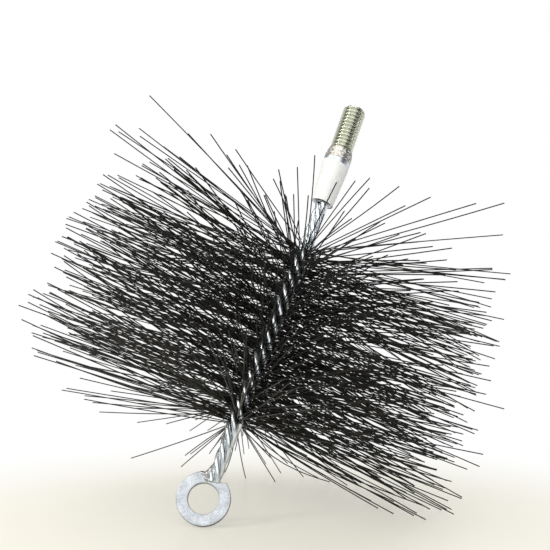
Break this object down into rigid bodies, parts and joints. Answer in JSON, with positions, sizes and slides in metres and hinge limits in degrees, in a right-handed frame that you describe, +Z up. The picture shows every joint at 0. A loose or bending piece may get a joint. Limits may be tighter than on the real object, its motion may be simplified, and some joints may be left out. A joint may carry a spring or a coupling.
{
  "type": "chimney sweep brush",
  "caption": "Round flue brush of straight black steel wire bristles in a twisted wire stem, with a threaded stud at one end and a flat ring eye at the other.",
  "frame": {"origin": "middle of the brush's box on the surface that it stands on", "axes": "+Z up from the surface, +X to the picture's right, +Y away from its camera. The stem leans 29 degrees from +Z, towards 48 degrees from +X to +Y"},
  "size_m": [0.2644, 0.2624, 0.2196],
  "materials": {
    "zinc_plated_steel": "satin zinc plate",
    "galvanised_wire": "bright galvanised",
    "galvanised_steel": "satin galvanised",
    "black_steel_wire": "black tempered spring wire",
    "weld_metal": "bare weld bead",
    "label_paper": "matt white paper"
  },
  "bodies": {
    "root": {"ring_eye": "zinc_plated_steel", "ring_weld": "weld_metal", "stem_wire_1": "galvanised_wire", "stem_wire_2": "galvanised_wire", "stem_wire_3": "galvanised_wire", "stem_wire_4": "galvanised_wire", "bristle_slice_01": "black_steel_wire", "bristle_slice_02": "black_steel_wire", "bristle_slice_03": "black_steel_wire", "bristle_slice_04": "black_steel_wire", "bristle_slice_05": "black_steel_wire", "bristle_slice_06": "black_steel_wire", "bristle_slice_07": "black_steel_wire", "bristle_slice_08": "black_steel_wire", "bristle_slice_09": "black_steel_wire", "bristle_slice_10": "black_steel_wire", "bristle_slice_11": "black_steel_wire", "bristle_slice_12": "black_steel_wire", "ferrule": "galvanised_steel", "label": "label_paper", "stud_weld": "weld_metal", "threaded_stud": "zinc_plated_steel"}
  },
  "joints": []
}
